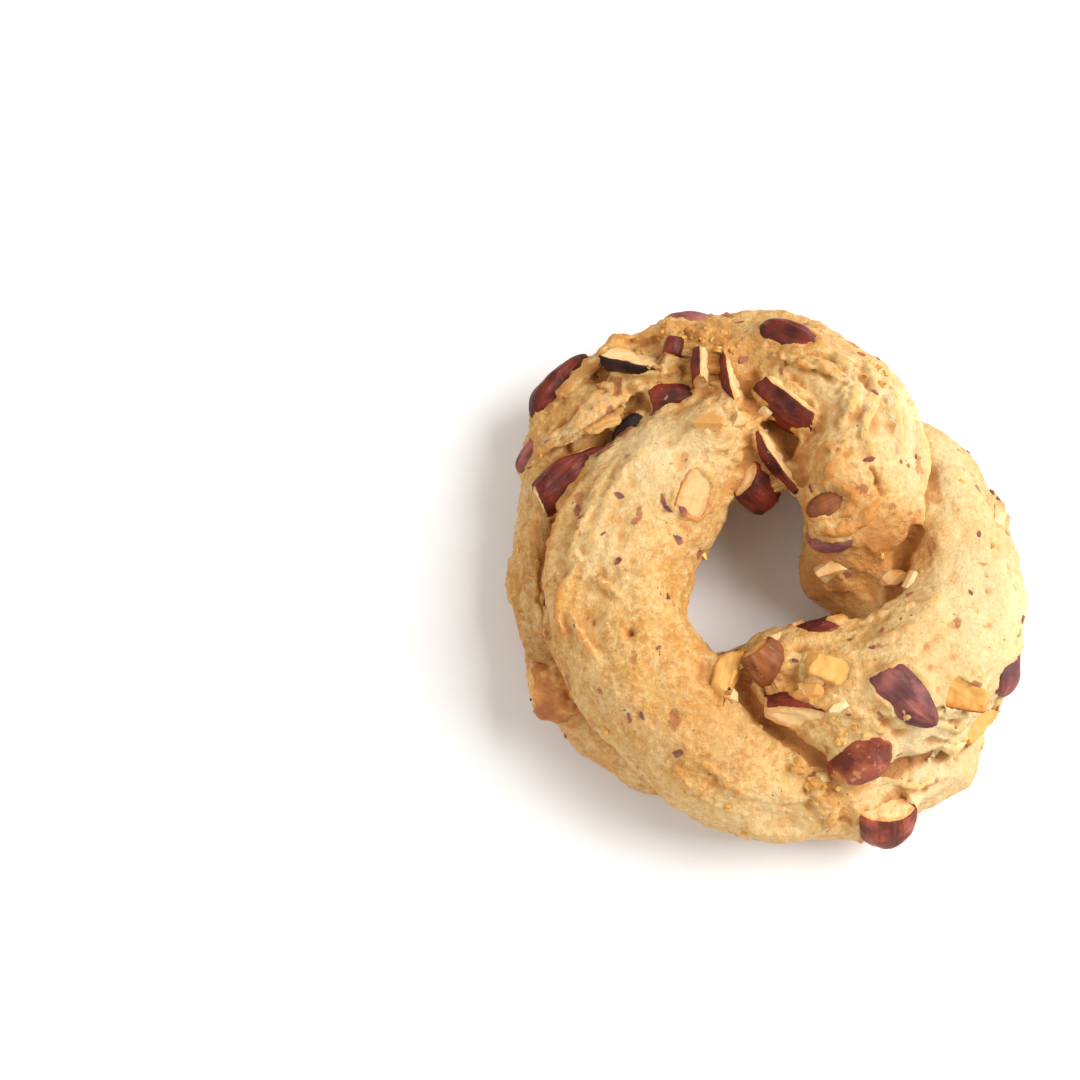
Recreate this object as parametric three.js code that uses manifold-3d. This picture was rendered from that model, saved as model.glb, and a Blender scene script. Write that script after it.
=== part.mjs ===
// Tarallo, a ring biscuit: a soft strand of peppery lard dough, rolled out, doubled, twisted and
// closed into a ring, set with chopped unpeeled almonds and baked hard on a flat tray.
// Millimetres. The ring lies flat: +Z is up, its middle is on the Z axis and the tray is z = 0.

import * as THREE from "three";
import { mergeVertices } from "three/addons/utils/BufferGeometryUtils.js";
import { SimplexNoise } from "three/addons/math/SimplexNoise.js";
import Module from "manifold-3d";

// The strand runs twice round the ring, counter-clockwise seen from above. Each station holds the
// angle round the ring in degrees, the distance from the ring's middle, the height of the strand's
// middle above the tray, half the strand's width and half its thickness.
const STATIONS = [
  // the broad left turn: out of the hole at the top, over the left side, down to the outer edge
  [103, 25, 19, 8.2, 9],
  [130, 24, 19.5, 12, 9.5],
  [180, 26, 19, 13, 10],
  [215, 28, 18.5, 12, 10],
  [255, 33, 15, 11.5, 9.5],
  [285, 36.5, 10, 11, 9],
  [312, 38, 7.5, 10.5, 8.5],
  [338, 28, 7.5, 10, 8.5],
  // the knotty turn: out of the hole on the right, over the top, down to the outer edge at the left
  [358, 18, 8.5, 9.5, 8.5],
  [382, 16.5, 14, 10, 8.5],
  [402, 22.5, 19.5, 11.5, 9.5],
  [425, 32, 19.5, 11.5, 9.5],
  [455, 40, 15, 10.5, 9.5],
  [495, 43, 9.2, 10.5, 9.9],
  [530, 38, 8.5, 9, 8.5],
  [570, 35.5, 7.5, 9.5, 8.5],
  [600, 31.5, 7.5, 10.5, 8.5],
  // the right turn: out of the hole at the bottom, over the right side, down to the outer edge
  [622, 19.5, 11, 9.5, 8.5],
  [645, 21, 16, 10.5, 9],
  [672, 29.5, 19.5, 12.5, 9.5],
  [705, 34.5, 16.5, 11.5, 9.5],
  [735, 33.5, 12.5, 10, 9],
  [762, 33, 9, 9.5, 8.5],
  [790, 30, 7.5, 9.5, 8.5],
];
// The strand is laid in three lengths, from station to station, whose ends lie inside the crossings
const LENGTHS = [
  [-0.6, 7.6],
  [6.6, 16.3],
  [15.2, 23.8],
];
const STRAND_GIRTH = 66; // round a strand
const ROPE_SIDES = 22; // faces round a strand
const ROPE_STEP = 4.6; // length of a face along a strand
const CORE_RADIUS = 29; // ring of dough pressed together between the strands
const CORE_THICKNESS = 17;
const FOLD_DEPTH = 2; // long twist folds along the strand
const FOLD_WIDTH = 9;
const FOLD_LENGTH = 32;
const LUMP_DEPTH = 0.9; // lumps of the kneaded dough
const LUMP_SIZE = 10;
const SEED = 11;

// A whole almond kernel; every piece is chopped from one
const KERNEL_LENGTH = 22;
const KERNEL_WIDTH = 12;
const KERNEL_THICKNESS = 8;
const KERNEL_TAPER = 0.3; // how much slimmer the pointed end is
const KERNEL_RIM = 1.4; // how much sharper the rim round its two broad sides is than an ellipse
const POCKET_GAP = 0.45; // room between an almond piece and the dough round it

// How a piece is chopped: planes by their outward direction and their distance from the kernel's
// middle, along its length (x), width (y) and thickness (z)
const CUTS = {
  whole: [],
  split: [[0, 0, 1, 0]],
  side: [[0, 1, 0, 2]],
  quarter: [[0, 0, 1, 0], [0, 1, 0, 0]],
  sliver: [[0, 1, 0, 1.2], [0, -1, 0, 1.2]],
  block: [
    [0.1, 1, 0.2, 2],
    [-0.2, -1, 0.1, 2.6],
    [0.15, 0.1, 1, 1.8],
    [0, 0, -1, 2.2],
    [1, 1, 0.6, 3.2],
    [-1, 0.7, 0.8, 3.4],
  ],
};

// The chopped almonds. Each row holds a name, the place of the piece's middle (x, y, z), how it lies
// (heading, pitch, roll in degrees), how much of the kernel's length is left (from, to), the slant of
// the cuts across it in degrees, the way it is chopped and the kernel's size against a full one.
const ALMONDS = [
  ["long_skin_left", -34.9, 17.3, 17.5, 41, 0, 60, -8, 11, 20, "whole", 0.85],
  ["skin_small_left", -42.5, 24, 13.3, 60, 0, 60, -11, 11, 0, "whole", 0.4],
  ["skin_upper_left", -37.5, 36.5, 13.5, 53, 0, 70, -11, 11, 0, "whole", 0.72],
  ["skin_left_crease", -23, 27.4, 17.6, 35, 0, 60, -11, 11, 0, "whole", 0.5],
  ["dark_cut_top_left", -23.4, 39.2, 22, -15, 0, -55, -5, 4.5, 20, "split", 0.9],
  ["skin_top_small", -16.2, 40.6, 21.8, 80, 0, 60, -4, 4, 15, "whole", 0.5],
  ["skin_top_edge", -13.1, 46.5, 18, 3, 0, 60, -11, 11, 0, "whole", 0.52],
  ["skin_cut_top_a", -10.1, 36.4, 24, 95, 0, 68, -4.5, 4.5, 15, "split", 0.8],
  ["skin_cut_top_b", -4.9, 33.4, 23.6, 105, 0, 66, -6, 6.5, -15, "split", 0.8],
  ["skin_top_crease", -17, 32, 20.6, 8, 0, 180, -6.5, 6.5, 15, "split", 0.6],
  ["long_skin_top_right", 5.8, 40, 24.4, -29, 0, 74, -11, 11, 0, "whole", 0.72],
  ["big_skin_top", 5.6, 28.6, 25.3, -40, 0, 40, -8, 5, 20, "side", 0.9],
  ["cut_half_hole_a", 2.6, 19.6, 23.3, -60, 0, -66, -8, 9, 0, "split", 0.8],
  ["cut_half_hole_b", -2.9, 15.2, 22.6, 146, 45, 0, -9, 2, 10, "whole", 0.66],
  ["flush_slice_left", -12.5, 13, 26.3, 70, 0, 120, -6.5, 6.5, 10, "sliver", 0.75],
  ["dark_under_lump", 14.2, 7.6, 23.2, 29, 0, -25, -11, 11, 0, "whole", 0.72],
  ["tan_in_lump", 10.8, 9.6, 27.9, 30, 0, 20, -11, 11, 0, "whole", 0.38],
  ["thin_skin_hole", 9.3, -11.1, 20.2, 25, 0, 120, -8, 7, 15, "split", 0.6],
  ["round_chunk_bottom", 1.3, -18.9, 23.6, -40, -30, 0, -8, 0, 15, "whole", 0.64],
  ["golden_chunk_bottom", -7.5, -19.8, 23.2, 80, 0, 0, -4.2, 4.2, 20, "block", 0.85],
  ["golden_slab_bottom", 10.6, -19.3, 26.2, -10, 0, 0, -4, 4, -20, "block", 1],
  ["skin_cut_bottom", 5, -26.3, 23.6, 170, 0, 35, -6.5, 7, 15, "side", 0.75],
  ["big_wedge_right", 22.6, -24.2, 27.6, -42, 0, 30, -6, 11, 30, "whole", 0.72],
  ["golden_cut_right", 32.3, -21, 27.2, -30, 0, 15, -5.5, 5.5, 20, "quarter", 0.92],
  ["round_half_bottom", 14, -31.8, 18.5, 141, -50, 0, -11, 0, 0, "whole", 0.95],
  ["cut_half_outer_edge", 20, -40.6, 15.6, 90, 56, 0, -11, -1, 0, "whole", 0.9],
  ["tan_half_lower_left", -39, -19.5, 12.5, 160, 0, 0, -10, 3, 25, "whole", 0.85],
  ["golden_chunk_right", 35, -26, 14.4, 60, 0, 30, -3.6, 3.6, 20, "block", 0.95],
  ["skin_sliver_right", 41.2, -15.6, 17.5, 80, 0, 70, -11, 11, 0, "whole", 0.6],
  ["skin_small_right", 40.6, 12.2, 12.6, -70, 0, 60, -11, 11, 0, "whole", 0.36],
  ["skin_back_right", 20, 34.5, 9, 150, 0, -90, -6, 6, 15, "split", 0.75],
  ["skin_back_left", -20, 45.5, 7.5, 200, 0, -70, -6, 5, 15, "split", 0.8],
];

// Swells and hollows of the torn dough: place (x, y, z), reach and height
const SWELLS = [
  [13, 15, 28, 7, 3.2],
  [-30, 28, 18, 7, 1.6],
  [-21, 31, 22, 5, -1.4],
  [-16, 41, 24, 5, 1.5],
  [4, 37, 28, 6, 1.4],
  [-27, -6, 29, 6, -1.3],
  [-20, -22, 28, 7, 1.2],
  [12, -37, 18, 6, 1.4],
  [24, -17, 28, 6, 1.3],
  [33, -31, 12, 7, 2.2],
  [40, 2, 20, 7, -1.2],
];

// Small chips of almond baked fast to the dough: place (x, y, z), heading and length
const CHIPS = [
  [-5, 24.5, 28.5, 50, 4.5],
  [-9.5, 23.5, 30, 20, 6],
  [0, 28, 25, 60, 4.5],
  [11.5, 1, 18.5, 30, 6.5],
  [22, -0.5, 16.5, 35, 5],
  [25, -2, 20, 60, 4],
  [41, 11.5, 14.5, 80, 5],
  [32, -30.5, 16.8, 50, 4.5],
  [1, -13, 21.7, 20, 4],
  [-6, -23, 20.2, 90, 3.5],
  [12, -26.5, 27.2, 30, 3.5],
  [7.5, -23, 26.2, 10, 4.5],
  [5, -35, 20.6, 40, 3.5],
  [10, -36.5, 18.8, 15, 4],
  [10.5, -42, 17.3, 70, 3.5],
];
const CHIP_WIDTH = 0.6; // of its length
const CHIP_THICKNESS = 0.45;

function seededRandom(seed) {
  let state = seed;
  return () => {
    state = (state * 1664525 + 1013904223) % 4294967296;
    return state / 4294967296;
  };
}

const wasm = await Module();
wasm.setup();

function toSolid(geometry) {
  const bare = geometry.clone();
  bare.deleteAttribute("normal");
  bare.deleteAttribute("uv");
  const merged = mergeVertices(bare, 1e-4);
  const corners = merged.index ? merged.index.array : [...merged.attributes.position.array.keys()];
  const mesh = new wasm.Mesh({
    numProp: 3,
    vertProperties: new Float32Array(merged.attributes.position.array),
    triVerts: new Uint32Array(corners),
  });
  return new wasm.Manifold(mesh);
}

function toGeometry(solid) {
  const mesh = solid.getMesh();
  const geometry = new THREE.BufferGeometry();
  geometry.setAttribute("position", new THREE.BufferAttribute(mesh.vertProperties, 3));
  geometry.setIndex(new THREE.BufferAttribute(mesh.triVerts, 1));
  return geometry;
}

const route = new THREE.CatmullRomCurve3(
  STATIONS.map(([angle, radius, height]) => {
    const turn = THREE.MathUtils.degToRad(angle);
    return new THREE.Vector3(radius * Math.cos(turn), radius * Math.sin(turn), height);
  }),
  true,
);
const girth = new THREE.CatmullRomCurve3(
  STATIONS.map(([, , , width, thickness]) => new THREE.Vector3(width, thickness, 0)),
  true,
);
const routeLength = route.getLength();
const noise = new SimplexNoise({ random: seededRandom(SEED) });

// Folds run along the strand and wind slowly round it; they are grooves between rounded swells
function foldHeight(t, round) {
  const across = STRAND_GIRTH / FOLD_WIDTH / (2 * Math.PI);
  const along = routeLength / FOLD_LENGTH / (2 * Math.PI);
  const wind = round + 2 * Math.PI * t;
  const turn = 2 * Math.PI * t;
  const streak = noise.noise4d(
    across * Math.cos(wind),
    across * Math.sin(wind),
    along * Math.cos(turn),
    along * Math.sin(turn),
  );
  return FOLD_DEPTH * (Math.abs(streak) - 0.35);
}

// A length of strand is a capsule bent along the route, with the folds and lumps on its skin
function rope([first, last]) {
  const length = (routeLength * (last - first)) / STATIONS.length;
  const height = length / 10;
  const steps = Math.round(length / ROPE_STEP);
  const geometry = new THREE.CapsuleGeometry(1, height, 3, ROPE_SIDES, steps);
  const position = geometry.attributes.position;
  const up = new THREE.Vector3(0, 0, 1);
  const point = new THREE.Vector3();
  for (let i = 0; i < position.count; i += 1) {
    point.fromBufferAttribute(position, i);
    const along = (point.y + height / 2 + 1) / (height + 2);
    const t = (1 + (first + along * (last - first)) / STATIONS.length) % 1;
    const ahead = route.getTangent(t);
    const side = ahead.clone().cross(up).normalize();
    const top = side.clone().cross(ahead);
    const size = girth.getPoint(t);
    const place = route.getPoint(t);
    place.addScaledVector(side, point.x * size.x).addScaledVector(top, point.z * size.y);
    const out = side.multiplyScalar(point.x).addScaledVector(top, point.z);
    const lump = noise.noise3d(place.x / LUMP_SIZE, place.y / LUMP_SIZE, place.z / LUMP_SIZE);
    const fold = foldHeight(t, Math.atan2(point.z, point.x));
    const swell = SWELLS.reduce((sum, [x, y, z, reach, rise]) => {
      const away = place.distanceTo(new THREE.Vector3(x, y, z)) / reach;
      return sum + rise * Math.exp(-away * away);
    }, 0);
    place.addScaledVector(out, LUMP_DEPTH * lump + fold + swell);
    position.setXYZ(i, place.x, place.y, place.z);
  }
  return toSolid(geometry);
}

// The dough: the three lengths grown together round their pressed core, flat where the tray was
const core = new THREE.TorusGeometry(CORE_RADIUS, CORE_THICKNESS / 2, 10, 48);
core.translate(0, 0, CORE_THICKNESS / 2 + 1);
const tray = new THREE.BoxGeometry(200, 200, 60).translate(0, 0, -30);
let dough = toSolid(core);
for (const length of LENGTHS) {
  dough = dough.add(rope(length));
}
dough = dough.subtract(toSolid(tray));

function laid([x, y, z], heading, pitch, roll) {
  const turn = new THREE.Euler(
    THREE.MathUtils.degToRad(roll),
    THREE.MathUtils.degToRad(-pitch),
    THREE.MathUtils.degToRad(heading),
    "ZYX",
  );
  return new THREE.Matrix4().makeRotationFromEuler(turn).setPosition(x, y, z);
}

// An almond piece before it is laid: a kernel less what the cuts took off, grown all round for a pocket
function almondPiece(from, to, slant, cut, size, grow) {
  const kernel = new THREE.SphereGeometry(1, 10, 7).rotateZ(-Math.PI / 2);
  const position = kernel.attributes.position;
  for (let i = 0; i < position.count; i += 1) {
    const [along, across, through] = new THREE.Vector3().fromBufferAttribute(position, i).toArray();
    const slim = 1 - KERNEL_TAPER * along;
    const round = Math.hypot(across, through) || 1;
    const lens = Math.sign(through) * round * (Math.abs(through) / round) ** KERNEL_RIM;
    position.setXYZ(
      i,
      along * (size * KERNEL_LENGTH / 2 + grow),
      across * (size * slim * KERNEL_WIDTH / 2 + grow),
      lens * (size * slim * KERNEL_THICKNESS / 2 + grow),
    );
  }
  let piece = toSolid(kernel);
  const lean = THREE.MathUtils.degToRad(slant);
  const planes = [
    [Math.cos(lean), Math.sin(lean), 0.4 * Math.sin(lean), to],
    [-Math.cos(lean), 0.6 * Math.sin(lean), -0.4 * Math.sin(lean), -from],
    ...CUTS[cut],
  ];
  for (const [x, y, z, distance] of planes) {
    const outward = new THREE.Vector3(x, y, z).normalize();
    const off = new THREE.BoxGeometry(60, 60, 60).translate(0, 0, 30 + size * distance + grow);
    off.applyQuaternion(new THREE.Quaternion().setFromUnitVectors(new THREE.Vector3(0, 0, 1), outward));
    piece = piece.subtract(toSolid(off));
  }
  return toGeometry(piece);
}

for (const [x, y, z, heading, length] of CHIPS) {
  const chip = new THREE.IcosahedronGeometry(length / 2, 0).scale(1, CHIP_WIDTH, CHIP_THICKNESS);
  chip.applyMatrix4(laid([x, y, z], heading, 0, 0));
  dough = dough.add(toSolid(chip));
}

const tarallo = new THREE.Group();
tarallo.name = "tarallo";

function addNode(name, solid, color, roughness) {
  const material = new THREE.MeshStandardMaterial({ color, roughness, metalness: 0 });
  const mesh = new THREE.Mesh(mergeVertices(toGeometry(solid), 1e-4), material);
  mesh.name = name;
  tarallo.add(mesh);
}

for (const [name, x, y, z, heading, pitch, roll, from, to, slant, cut, size] of ALMONDS) {
  const lie = laid([x, y, z], heading, pitch, roll);
  const pocket = almondPiece(from, to, slant, cut, size, POCKET_GAP).applyMatrix4(lie);
  dough = dough.subtract(toSolid(pocket));
  const piece = almondPiece(from, to, slant, cut, size, 0).applyMatrix4(lie);
  addNode(`almond_${name}`, toSolid(piece), 0x7a2e20, 0.6);
}
addNode("dough", dough, 0xe2b678, 0.75);

// The ring is shifted flat along the tray until the origin lies under the middle of its outer size
const middle = new THREE.Box3().setFromObject(tarallo).getCenter(new THREE.Vector3());
for (const mesh of tarallo.children) {
  mesh.geometry.translate(-middle.x, -middle.y, 0);
}

export default tarallo;
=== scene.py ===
import math
import random

import bmesh
import bpy
import numpy as np
from mathutils import Euler, Matrix, Vector, noise
from mathutils.bvhtree import BVHTree
from mathutils.kdtree import KDTree


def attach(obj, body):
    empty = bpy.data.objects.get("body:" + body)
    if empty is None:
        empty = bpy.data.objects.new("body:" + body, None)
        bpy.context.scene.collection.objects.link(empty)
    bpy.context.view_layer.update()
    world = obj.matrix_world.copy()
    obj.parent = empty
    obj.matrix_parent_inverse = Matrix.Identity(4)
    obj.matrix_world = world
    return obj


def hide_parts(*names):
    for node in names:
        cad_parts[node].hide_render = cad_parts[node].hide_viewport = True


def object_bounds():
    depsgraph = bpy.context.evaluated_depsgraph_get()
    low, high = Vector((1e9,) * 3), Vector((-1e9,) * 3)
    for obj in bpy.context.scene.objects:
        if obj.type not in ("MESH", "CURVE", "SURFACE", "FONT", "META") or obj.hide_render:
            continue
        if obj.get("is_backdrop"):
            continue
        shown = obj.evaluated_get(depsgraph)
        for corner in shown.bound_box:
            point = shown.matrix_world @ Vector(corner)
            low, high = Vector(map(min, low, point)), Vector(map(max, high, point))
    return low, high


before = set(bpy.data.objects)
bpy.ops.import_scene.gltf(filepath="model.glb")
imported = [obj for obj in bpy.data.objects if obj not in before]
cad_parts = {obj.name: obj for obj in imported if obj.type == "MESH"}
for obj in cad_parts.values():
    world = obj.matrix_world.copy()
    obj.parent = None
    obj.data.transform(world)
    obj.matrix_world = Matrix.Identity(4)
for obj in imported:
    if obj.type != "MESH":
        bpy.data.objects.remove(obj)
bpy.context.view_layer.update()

# The chopped almonds: roasted kernels in their brown skins, cut with a knife into halves, ends and
# chunks and kneaded into the soft dough. The skin is papery and ribbed along the kernel, the cut
# flesh is cream. Sizes are in millimetres, and places are measured from the middle of the twist.
MM = 0.001
RING_MIDDLE = (0.450, -1.933, 0)  # where the middle of the twist lies on the tray
TO_FRAME = Matrix.Scale(MM, 4) @ Matrix.Translation(RING_MIDDLE)
KERNEL = (22, 12, 8)  # length, width and thickness of a whole one
KERNEL_TAPER = 0.3  # how much slimmer its pointed end is
KERNEL_RIM = 1.4  # how sharp the rim round it is
CUTS = {  # what the knife took off: direction of each cut, and its distance from the middle
    "whole": [],
    "split": [(0, 0, 1, 0)],
    "side": [(0, 1, 0, 2)],
    "quarter": [(0, 0, 1, 0), (0, 1, 0, 0)],
    "sliver": [(0, 1, 0, 1.2), (0, -1, 0, 1.2)],
    "block": [(0.1, 1, 0.2, 2), (-0.2, -1, 0.1, 2.6), (0.15, 0.1, 1, 1.8), (0, 0, -1, 2.2),
              (1, 1, 0.6, 3.2), (-1, 0.7, 0.8, 3.4)],
}
# Each almond: name, middle, heading with pitch and roll, what is left of its length, slant of the cuts
# across it, cuts along it, size against a whole one, finish
ALMONDS = [
    ("long_skin_left", (-34.9, 17.3, 17.5), (41, 0, 60), (-8, 11), 20, "whole", 0.85, "red"),
    ("skin_small_left", (-42.5, 24, 13.3), (60, 0, 60), (-11, 11), 0, "whole", 0.4, "purple"),
    ("skin_upper_left", (-37.5, 36.5, 13.5), (53, 0, 70), (-11, 11), 0, "whole", 0.72, "red"),
    ("skin_left_crease", (-23, 27.4, 17.6), (35, 0, 60), (-11, 11), 0, "whole", 0.5, "dark"),
    ("dark_cut_top_left", (-23.4, 39.2, 22), (-15, 0, -55), (-5, 4.5), 20, "split", 0.9, "dark"),
    ("skin_top_small", (-16.2, 40.6, 21.8), (80, 0, 60), (-4, 4), 15, "whole", 0.5, "red"),
    ("skin_top_edge", (-13.1, 46.5, 18), (3, 0, 60), (-11, 11), 0, "whole", 0.52, "purple"),
    ("skin_cut_top_a", (-10.1, 36.4, 24), (95, 0, 68), (-4.5, 4.5), 15, "split", 0.8, "red"),
    ("skin_cut_top_b", (-4.9, 33.4, 23.6), (105, 0, 66), (-6, 6.5), -15, "split", 0.8, "red"),
    ("skin_top_crease", (-17, 32, 20.6), (8, 0, 180), (-6.5, 6.5), 15, "split", 0.6, "red"),
    ("long_skin_top_right", (5.8, 40, 24.4), (-29, 0, 74), (-11, 11), 0, "whole", 0.72, "red"),
    ("big_skin_top", (5.6, 28.6, 25.3), (-40, 0, 40), (-8, 5), 20, "side", 0.9, "red"),
    ("cut_half_hole_a", (2.6, 19.6, 23.3), (-60, 0, -66), (-8, 9), 0, "split", 0.8, "red"),
    ("cut_half_hole_b", (-2.9, 15.2, 22.6), (146, 45, 0), (-9, 2), 10, "whole", 0.66, "red"),
    ("flush_slice_left", (-12.5, 13, 26.3), (70, 0, 120), (-6.5, 6.5), 10, "sliver", 0.75, "cream"),
    ("dark_under_lump", (14.2, 7.6, 23.2), (29, 0, -25), (-11, 11), 0, "whole", 0.72, "purple"),
    ("tan_in_lump", (10.8, 9.6, 27.9), (30, 0, 20), (-11, 11), 0, "whole", 0.38, "brown"),
    ("thin_skin_hole", (9.3, -11.1, 20.2), (25, 0, 120), (-8, 7), 15, "split", 0.6, "red"),
    ("round_chunk_bottom", (1.3, -18.9, 23.6), (-40, -30, 0), (-8, 0), 15, "whole", 0.64, "brown"),
    ("golden_chunk_bottom", (-7.5, -19.8, 23.2), (80, 0, 0), (-4.2, 4.2), 20, "block", 0.85, "golden"),
    ("golden_slab_bottom", (10.6, -19.3, 26.2), (-10, 0, 0), (-4, 4), -20, "block", 1, "golden"),
    ("skin_cut_bottom", (5, -26.3, 23.6), (170, 0, 35), (-6.5, 7), 15, "side", 0.75, "red"),
    ("big_wedge_right", (22.6, -24.2, 27.6), (-42, 0, 30), (-6, 11), 30, "whole", 0.72, "purple"),
    ("golden_cut_right", (32.3, -21, 27.2), (-30, 0, 15), (-5.5, 5.5), 20, "quarter", 0.92, "golden"),
    ("round_half_bottom", (14, -31.8, 18.5), (141, -50, 0), (-11, 0), 0, "whole", 0.95, "peeling"),
    ("cut_half_outer_edge", (20, -40.6, 15.6), (90, 56, 0), (-11, -1), 0, "whole", 0.9, "russet"),
    ("tan_half_lower_left", (-39, -19.5, 12.5), (160, 0, 0), (-10, 3), 25, "whole", 0.85, "tan"),
    ("golden_chunk_right", (35, -26, 14.4), (60, 0, 30), (-3.6, 3.6), 20, "block", 0.95, "golden"),
    ("skin_sliver_right", (41.2, -15.6, 17.5), (80, 0, 70), (-11, 11), 0, "whole", 0.6, "purple"),
    ("skin_small_right", (40.6, 12.2, 12.6), (-70, 0, 60), (-11, 11), 0, "whole", 0.36, "purple"),
    ("skin_back_right", (20, 34.5, 9), (150, 0, -90), (-6, 6), 15, "split", 0.75, "red"),
    ("skin_back_left", (-20, 45.5, 7.5), (200, 0, -70), (-6, 5), 15, "split", 0.8, "purple"),
]
ALMOND_FINISHES = {  # skin, its darker parts, cut flesh, toasted rim of the flesh, how clear its ribs are
    "red": ("#7E2E1D", "#35120C", "#EDC58B", "#D0904C", 0.65),
    "russet": ("#B8583F", "#5C261C", "#EFCB8F", "#D0904C", 0.6),
    "peeling": ("#AC5A40", "#662B1F", "#CB945C", "#B27540", 0.4),
    "purple": ("#A05C54", "#5A3234", "#E9C087", "#CC8A48", 0.55),
    "dark": ("#40201A", "#180C0B", "#EBC186", "#CC8A48", 0.4),
    "tan": ("#CE8A4A", "#9C5C30", "#E0AE68", "#C98C4A", 0.1),
    "brown": ("#9C5A2A", "#6C381B", "#D9A25C", "#B5732F", 0.2),
    "golden": ("#A95E2C", "#8A4A28", "#DFA658", "#CC8030", 0.2),
    "cream": ("#B9834C", "#9A5A32", "#DAAC6E", "#C98F4C", 0.2),
}
SKINNED = "tan"  # the finish of an almond that lost its skin all over
PATCHY = ("peeling", "tan")  # finishes that show paler flesh in patches
ALL_FLESH = ("golden", "cream")  # finishes of pieces from inside the kernel
ALMOND_STEP, ALMOND_ROUNDS = 0.27, 2  # size of an almond's faces, and how often they are evened out
SKIN_ENDS = (0.15, 0.45)  # depths between which skin gives way to cut flesh
RIB_STRETCH, RIB_ROUND = 3, 4  # how far ribs are drawn out, and the radius of the round they lie on
RIBS, FINE_RIBS, DENTS = (1.5, 0.22), (0.6, 0.1), (4, 0.35)  # width and height of each in the skin
CHIPPING, SPLINTERS = (3, 0.5), (1.2, 0.25)  # the same in a cut face
SKINNED_ROUGHNESS = 1.8  # how much rougher flesh is where the skin came off
STREAK_LENGTH, STREAKS_PER_MM = 10, 1.3  # streaks of darker skin along the ribs
CLOUD_SIZE, SPECK_SIZE = 4.5, 1.1  # darker clouds and pale specks in it


def linear(code):
    """An sRGB hex colour as linear red, green, blue and alpha."""
    parts = [int(code[i:i + 2], 16) / 255 for i in (1, 3, 5)]
    return [c / 12.92 if c <= 0.04045 else ((c + 0.055) / 1.055) ** 2.4 for c in parts] + [1]


def new_material(name):
    """A new material, with its nodes and its shader."""
    material = bpy.data.materials.new(name)
    material.use_nodes = True
    return material, material.node_tree, material.node_tree.nodes["Principled BSDF"]


def add_node(tree, kind, sockets, **settings):
    """A shader node with its settings, and its sockets set to values or linked to other sockets."""
    made = tree.nodes.new(kind)
    for name, value in settings.items():
        setattr(made, name, value)
    for name, value in sockets.items():
        if isinstance(value, bpy.types.NodeSocket):
            tree.links.new(value, made.inputs[name])
        else:
            made.inputs[name].default_value = value
    return made


def layered(tree, hue, layers):
    """A colour with others laid over it, each growing from nothing to its most as its source changes."""
    for source, start, end, most, layer_hue in layers:
        share = add_node(tree, "ShaderNodeMapRange", {0: source, 1: start, 2: end, 4: most})
        hue = add_node(tree, "ShaderNodeMix", {
            0: share.outputs[0], 6: hue, 7: layer_hue,
        }, data_type="RGBA").outputs[2]
    return hue


def points_of(mesh):
    """The places and the outward directions of a mesh's points."""
    found = []
    for name in ("co", "normal"):
        flat = np.empty(len(mesh.vertices) * 3, np.float32)
        mesh.vertices.foreach_get(name, flat)
        found.append(flat.reshape(-1, 3).astype(float))
    return found


def mesh_of(bm):
    """A mesh of what is in a bmesh, which is then freed."""
    mesh = bpy.data.meshes.new("shape")
    bm.to_mesh(mesh)
    bm.free()
    return mesh


def add_object(name, data):
    """A new object in the scene."""
    made = bpy.data.objects.new(name, data)
    bpy.context.scene.collection.objects.link(made)
    return made


def modified(mesh, *steps):
    """What modifiers, each a kind with its settings, make of a mesh."""
    piece = add_object("shape", mesh)
    for kind, settings in steps:
        modifier = piece.modifiers.new(kind, kind)
        for name, value in settings.items():
            setattr(modifier, name, value)
    made = bpy.data.meshes.new_from_object(piece.evaluated_get(bpy.context.evaluated_depsgraph_get()))
    bpy.data.objects.remove(piece)
    bpy.data.meshes.remove(mesh)
    return made


def fine_skin(bm, step, rounds):
    """A mesh with an even fine skin over everything in a bmesh, rounded off."""
    return modified(
        mesh_of(bm),
        ("REMESH", {"mode": "VOXEL", "voxel_size": step}),
        ("SMOOTH", {"factor": 0.5, "iterations": rounds}),
    )


def grain(points, size, height=1):
    """Rise and fall at each point, in grains of one size; points moved aside have other grains."""
    return height * np.array([noise.noise(p) for p in (points / size).tolist()])


def step_up(value, low, high):
    """0 below the low value, 1 above the high one, and a smooth step between them."""
    share = np.clip((value - low) / (high - low), 0, 1)
    return share * share * (3 - 2 * share)


def keep_value(mesh, name, values):
    """Keep a value at each point of a mesh for its material."""
    mesh.attributes.new(name, "FLOAT", "POINT").data.foreach_set("value", values.astype(np.float32))


def cut_off(bm, direction, distance):
    """Cut off what lies further from the middle than a distance in one direction, and close the cut."""
    direction = Vector(direction).normalized()
    bmesh.ops.bisect_plane(
        bm, geom=bm.verts[:] + bm.edges[:] + bm.faces[:],
        plane_co=direction * distance, plane_no=direction, clear_outer=True,
    )
    bmesh.ops.holes_fill(bm, edges=[e for e in bm.edges if e.is_boundary], sides=0)


def add_piece(name, mesh, material):
    """A finished piece of the ring, put in its place in the frame."""
    mesh.name = name
    mesh.transform(TO_FRAME)
    mesh.materials.clear()
    mesh.materials.append(material)
    piece = add_object(name, mesh)
    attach(piece, "root")
    return piece


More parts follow.
